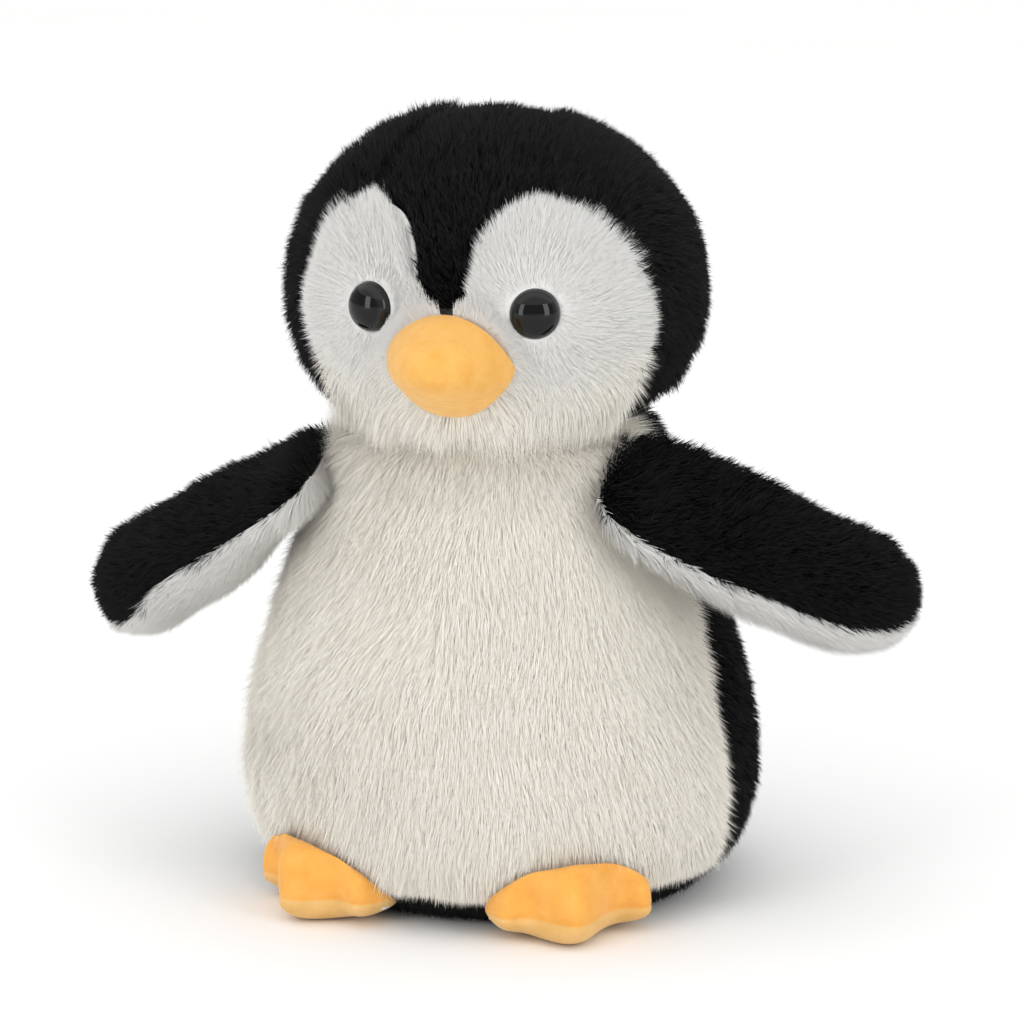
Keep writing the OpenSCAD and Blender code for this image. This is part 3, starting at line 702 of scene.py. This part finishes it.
def pump(made, held, pressure, most):
    # a short cloth run lets the stuffing push the sewn shell out between its seams
    mesh = made.data
    rest = np.empty(len(mesh.vertices) * 3)
    mesh.vertices.foreach_get("co", rest)
    group = made.vertex_groups.new(name="held")
    for i, share in enumerate(held):
        group.add([i], float(share), "REPLACE")
    cloth = made.modifiers.new("stuffing", "CLOTH")
    cloth.settings.quality = 8
    cloth.settings.mass = 0.1
    cloth.settings.tension_stiffness = 25
    cloth.settings.compression_stiffness = 25
    cloth.settings.shear_stiffness = 12
    cloth.settings.bending_stiffness = 0.4
    cloth.settings.vertex_group_mass = "held"
    cloth.settings.use_pressure = True
    cloth.settings.uniform_pressure_force = pressure
    cloth.settings.effector_weights.gravity = 0
    cloth.collision_settings.use_collision = False
    cloth.point_cache.frame_start = 1
    cloth.point_cache.frame_end = 20
    for f in range(1, 21):
        scene.frame_set(f)
    posed = made.evaluated_get(bpy.context.evaluated_depsgraph_get())
    after = np.empty(len(mesh.vertices) * 3)
    posed.data.vertices.foreach_get("co", after)
    made.modifiers.remove(cloth)
    scene.frame_set(1)
    moved = (after - rest).reshape(-1, 3)
    far = np.linalg.norm(moved, axis=1, keepdims=True)
    moved = moved * np.minimum(1, most / np.maximum(far, 1e-9))
    mesh.vertices.foreach_set("co", (rest.reshape(-1, 3) + moved).ravel())
    mesh.update()
    print(f"  {made.name}: stuffing moved the shell {far.max() * 1000:.2f} mm at most")


def refine(made, levels=1):
    soft = made.modifiers.new("smoothing", "SUBSURF")
    soft.levels = levels
    soft.render_levels = levels


beak = {"wide": boxOf["beak_upper"][1].x, "mouth": 0.1335, "rise": 0.0126, "drop": 0.0108,
        "long": headSpot(0, 0.1335)[0][1] - boxOf["beak_upper"][0].y - 0.0003}


def beakPoint(x, z, out):
    # x and z run over the unit disc, drawn in to a lemon with pointed corners
    z = z * max(0, 1 - abs(x) ** 2) ** 0.62 / sqrt(max(1e-6, 1 - x * x))
    px, pz = beak["wide"] * 1.03 * x, beak["mouth"] + (beak["rise"] if z > 0 else beak["drop"]) * z
    edge = x * x + z * z
    drop = (pz - headMiddle[2]) / head["ball"]
    deep = head["front"] * sqrt(1 - (px / head["wide"]) ** 2 - drop ** 2)
    d = unit(np.array([px, -deep, pz - headMiddle[2]]))
    foot = headMiddle + d * (headReach(d) + 0.0002)
    return foot + np.array([0, -beak["long"] * max(0, 1 - edge ** 0.85) ** 0.85 * out, 0])


turns, rings = 72, 22
points = []
for r in np.sin(np.linspace(0.03, pi / 2, rings)):
    for t in np.linspace(0, 2 * pi, turns, endpoint=False):
        points.append(beakPoint(r * cos(t), r * sin(t), 1))
for r in (0.93, 0.8, 0.55, 0.25):
    for t in np.linspace(0, 2 * pi, turns, endpoint=False):
        points.append(beakPoint(r * cos(t), r * sin(t), 0) + np.array([0, 0.0012, 0]))
points = np.array(points)
points[: turns * rings] += (waves(points[: turns * rings], 0.012, 3) * 0.00025)[:, None] * [0.3, -1, 0.3]
mesh = gridMesh("beak_shell", points, rings + 4, turns, closed=True, caps=True)
beakShell = newObject("beak_shell", mesh, [beakVelboa])
if mesh.polygons[len(mesh.polygons) // 4].normal.y > 0:
    mesh.flip_normals()
heldBeak = np.concatenate([np.interp(np.repeat(np.linspace(0, 1, rings), turns), [0.8, 1], [0, 1]),
                           np.ones(len(mesh.vertices) - rings * turns)])
heldBeak[-2] = 0
pump(beakShell, heldBeak, 3, 0.0008)
refine(beakShell)
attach(beakShell, "head")
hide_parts("beak_upper", "beak_lower")

flexAxis = jointOf["foot_left_flex"]["axis"]
foot = {"angle": degrees(atan2(-flexAxis[1], -flexAxis[0])),
        "half": 21, "seam": 0.0065, "high": boxOf["foot_top_left"][1].z, "toe": 0.016,
        "gap": 0.0006, "lean": 0.003}


def footLoop(share):
    angle = radians(foot["angle"] + foot["half"] * share)
    out = np.array([sin(angle), -cos(angle)])
    swell = max(0, 1 - abs(share) ** 1.9) ** 0.65
    seam = foot["seam"]
    high = seam + 0.0003 + (foot["high"] - seam - 0.0003) * swell
    low = seam - 0.0003 - (seam - 0.0004) * sqrt(max(0, 1 - abs(share) ** 2.2))

    def near(z):
        p = bodySurface(np.array([z / body["top"]]), np.array([np.degrees(angle)]))[0]
        return np.hypot(p[0], p[1]) + foot["gap"] + foot["lean"] * z / foot["high"]

    end = sqrt(max(0, 1 - abs(share) ** 5))
    toes = end * (0.36 + 0.64 * np.exp(-((share + 0.1) / 0.34) ** 2)
                  + 0.28 * np.exp(-((abs(share) - 0.8) / 0.18) ** 2))
    reach = near(seam) + 0.0006 + foot["toe"] * toes
    back = near(high)
    pinch = 0.0007 * end
    loop = []
    for a in (0, 2.5, 6, 11, 18, 27, 37, 48, 60, 73, 90):
        r = back + (reach - back) * cos(radians(a)) ** 0.85 - pinch * np.exp(-(a / 4.5) ** 2)
        loop.append((r, seam + (high - seam) * sin(radians(a)) ** 0.9))
    loop += [(near(low + (high - low) * k), low + (high - low) * k) for k in (0.8, 0.55, 0.35, 0.18)]
    heel = near(low + (high - low) * 0.14)
    loop.append((heel, low))
    loop += [(heel + (reach * 0.88 - heel) * k / 4, low) for k in (1, 2, 3, 4)]
    for a in (68, 45, 27, 14, 6):
        r = reach * (0.88 + 0.12 * cos(radians(a))) - pinch * np.exp(-(a / 8) ** 2)
        loop.append((r, seam - (seam - low) * sin(radians(a))))
    return [(out[0] * r, out[1] * r, z) for r, z in loop]


for side, sign in (("left", 1), ("right", -1)):
    shares = np.sin(np.linspace(-pi / 2, pi / 2, 51)) * 0.996
    loops = [footLoop(s) for s in shares]
    count = len(loops[0])
    points = np.array(loops).reshape(-1, 3)
    turned = radians(foot["angle"])
    out = unit(points - np.array([0.060 * sin(turned), -0.060 * cos(turned), 0.007]))
    ripple = waves(points, 0.011, 7 + sign) * 0.00035 * smooth(0.002, 0.006, points[:, 2])
    points = points + out * ripple[:, None]
    points[:, 2] = np.maximum(points[:, 2], 0.0002)
    points = points * [sign, 1, 1]
    mesh = gridMesh(f"foot_shell_{side}", points, len(shares), count, closed=True, caps=True, flip=sign > 0)
    made = newObject(f"foot_shell_{side}", mesh, [velboa, velboaSole])
    for face in mesh.polygons:
        ring = [k % count for k in face.vertices if k < len(shares) * count]
        face.material_index = 1 if min(ring) >= 14 or (0 in ring and max(ring) >= 20) else 0
    fixed = np.array([1.0 if 9 <= k % count <= 18 else 0.0 for k in range(len(mesh.vertices))])
    pump(made, fixed, 3, 0.0007)
    refine(made)
    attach(made, f"foot_{side}")
    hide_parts(f"foot_top_{side}", f"foot_sole_{side}")

    # the filling keeps the shape of the shell, drawn in and lumpy
    inner = np.array([footLoop(s) for s in shares[6:-6]])
    core = inner.mean(axis=1, keepdims=True)
    inner = (core + (inner - core) * 0.74).reshape(-1, 3)
    inner = (inner + 0.0003 * waves(inner, 0.007, 15)[:, None]) * [sign, 1, 1]
    mesh = gridMesh(f"foot_stuffing_{side}", inner, len(shares) - 12, count, closed=True, caps=True,
                    flip=sign > 0)
    stuffing = newObject(f"foot_stuffing_{side}", mesh, [fibre])
    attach(stuffing, f"foot_{side}")
    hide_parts(f"foot_filling_{side}")
print("beak and feet made")

flipper = {
    "root": (0.0438, -0.026, 0.1015), "length": 0.068, "halfChord": 0.0185, "over": 0.0105, "under": 0.0135,
    "sweep": 13,
    "rear": [[-1, 0.47], [-0.8, 0.72], [-0.4, 0.87], [0, 0.93], [0.15, 0.95], [0.3, 0.91], [0.45, 0.82],
             [0.58, 0.745], [0.7, 0.75], [0.8, 0.79], [1, 0.81]],
    "front": [[-1, 0.3], [-0.8, 0.5], [-0.4, 0.68], [0, 0.8], [0.15, 0.9], [0.3, 0.98], [0.45, 1], [0.58, 1],
              [0.7, 0.98], [0.8, 0.95], [1, 0.9]],
    "left": {"frontSeam": 160, "droop": 22, "chordWay": (0.3, 0.84, 0.45), "cap": 0.012, "twist": 0},
    "right": {"frontSeam": 176, "droop": 31.5, "chordWay": (0.1, 0.93, 0.3), "cap": 0.008, "twist": 25},
}


def flipperAxes(side):
    pose = flipper[side]
    b, g = radians(pose["droop"]), radians(flipper["sweep"])
    axis = np.array([cos(b) * cos(g), cos(b) * sin(g), -sin(b)])
    way = np.array(pose["chordWay"])
    across = unit(way - axis * (axis @ way))
    return axis, across, -unit(np.cross(across, axis))


def thickness(s):
    # fabric lies closer to the surface at the thin sewn root
    return 0.4 + 0.6 * smooth(0, 0.5, s)


def flipperTip(s, start, power):
    return np.sqrt(np.maximum(0, 1 - np.maximum(0, (s - start) / (1 - start)) ** power))


def flipperForm(side):
    axis, across, normal = flipperAxes(side)
    pose = flipper[side]
    turn = np.array([1 if side == "left" else -1, 1, 1])
    root = np.array(flipper["root"])

    def surface(s, angle):
        a = np.radians(angle)
        c, n = np.cos(a), np.sin(a)
        swell = np.where(s < 0, 0.42 * np.sqrt(np.maximum(0, 1 - np.minimum(s, 0) ** 2)),
                         (0.42 + 0.58 * smooth(0, 0.5, s)) * flipperTip(s, 0.7, 2.2))
        edge = np.where(c > 0, curveAt(flipper["rear"], s), curveAt(flipper["front"], s))
        chord = flipper["halfChord"] * edge * flipperTip(s, 0.66, 2.4) * c
        rise = np.where(n > 0, flipper["over"], flipper["under"]) * swell * n
        run = np.where(s < 0, pose["cap"] * s, flipper["length"] * s)
        tw = np.radians(pose["twist"]) * smooth(0.45, 1, s)
        p = (root + axis * run[..., None] + across * (chord * np.cos(tw) - rise * np.sin(tw))[..., None]
             + normal * (chord * np.sin(tw) + rise * np.cos(tw))[..., None])
        return p * turn

    def core(p, s, angle):
        run = np.where(s < 0, pose["cap"] * s * 0.3, flipper["length"] * s * 0.95)
        return (root + axis * run[..., None]) * turn + 0 * p

    return {"at": surface, "core": core}


for side, sign in (("left", 1), ("right", -1)):
    form = flipperForm(side)
    axis = flipperAxes(side)[0] * [sign, 1, 1]
    seam = flipper[side]["frontSeam"]
    for face, low, high, backing, tints, pile, count, slotName in (
            ("top", 0, seam, blackBacking, blackPile, flipperPile, fibreCount["flipperTop"], "black_pile"),
            ("under", seam, 360, faceBacking, facePile, flipperUnderPile, fibreCount["flipperUnder"],
             "white_pile")):
        cloth = panel(form, (-0.985, 0.992), steady(low), steady(high), 0.002)
        skinPiece(f"flipper_{face}_skin_{side}", cloth, lambda s: skinDepth["flipper"] * thickness(s),
                  backing, 60, 26, [f"flipper_{face}_{side}"], f"flipper_{side}")
        u, v, point, normal = scatter(cloth, count, np.random.default_rng(81 + sign + len(face)))
        flow = along(normal, axis)
        end = smooth(0.85, 1, u)
        spec = dict(pile, lengthAt=1 - 0.35 * end, leanAt=1 - 0.3 * end, depthAt=thickness(u))
        growPile(f"flipper_{face}_pile_{side}", point, normal, flow, spec, tints, f"flipper_{side}",
                 91 + sign + len(face))
print("flippers made")


def lumpy(node, name, material, bodyName, lump, size):
    # a filling drawn from its own solid, remeshed and pushed in by soft lumps
    source = frame["nodes"][node]
    mesh = source.data.copy()
    mesh.name = name
    made = newObject(name, mesh, [])
    mesh.materials.clear()
    mesh.materials.append(material)
    again = made.modifiers.new("remesh", "REMESH")
    again.mode = "VOXEL"
    again.voxel_size = size
    even = made.evaluated_get(bpy.context.evaluated_depsgraph_get())
    fresh = bpy.data.meshes.new_from_object(even)
    made.modifiers.clear()
    made.data = fresh
    co = np.empty(len(fresh.vertices) * 3)
    no = np.empty(len(fresh.vertices) * 3)
    fresh.vertices.foreach_get("co", co)
    fresh.vertices.foreach_get("normal", no)
    co, no = co.reshape(-1, 3), no.reshape(-1, 3)
    push = lump * (0.55 + 0.3 * waves(co, size * 5, 3) + 0.15 * waves(co, size * 2.2, 4))
    fresh.vertices.foreach_set("co", (co - no * push[:, None]).ravel())
    fresh.polygons.foreach_set("use_smooth", [True] * len(fresh.polygons))
    fresh.update()
    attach(made, bodyName)
    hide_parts(node)


lumpy("body_filling", "body_stuffing", fibre, "body", 0.0022, 0.0028)
lumpy("head_filling", "head_stuffing", fibre, "head", 0.0022, 0.0028)
lumpy("beak_filling", "beak_stuffing", fibre, "head", 0.0008, 0.0011)
lumpy("pellet_pouch", "pouch_bag", pouchCloth, "body", 0.0010, 0.0018)
for side in ("left", "right"):
    lumpy(f"flipper_filling_{side}", f"flipper_stuffing_{side}", fibre, f"flipper_{side}",
          0.0016, 0.0016)
print("fillings made")

labelLow, labelHigh = boxOf["care_label"]
label = {"leaf": 0.017, "wide": 0.012, "gap": 0.0005, "start": labelLow.y - 0.0002}
rows, columns = 47, 13
points = []
for k in range(rows):
    s = k / (rows - 1) * 2 * label["leaf"]
    turnAt, radius = label["leaf"] - label["gap"] * pi / 2, label["gap"]
    if s < turnAt:
        out, aside = s, -radius
    elif s > 2 * label["leaf"] - turnAt:
        out, aside = 2 * label["leaf"] - s, radius
    else:
        a = (s - turnAt) / (2 * label["leaf"] - 2 * turnAt) * pi
        out, aside = turnAt + radius * sin(a), -radius * cos(a)
    for j in range(columns):
        high = (j / (columns - 1) - 0.5) * label["wide"]
        droop = -0.0016 * (out / label["leaf"]) ** 2
        wave = 0.0005 * sin(high * 420 + out * 160) * (out / label["leaf"])
        points.append(((labelLow.x + labelHigh.x) / 2 + aside + wave, label["start"] + out,
                       (labelLow.z + labelHigh.z) / 2 + high + droop))
mesh = gridMesh("label_tape", points, rows, columns)
labelTag = newObject("label_tape", mesh, [labelTape])
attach(labelTag, "body")
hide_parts("care_label")
print("label made")
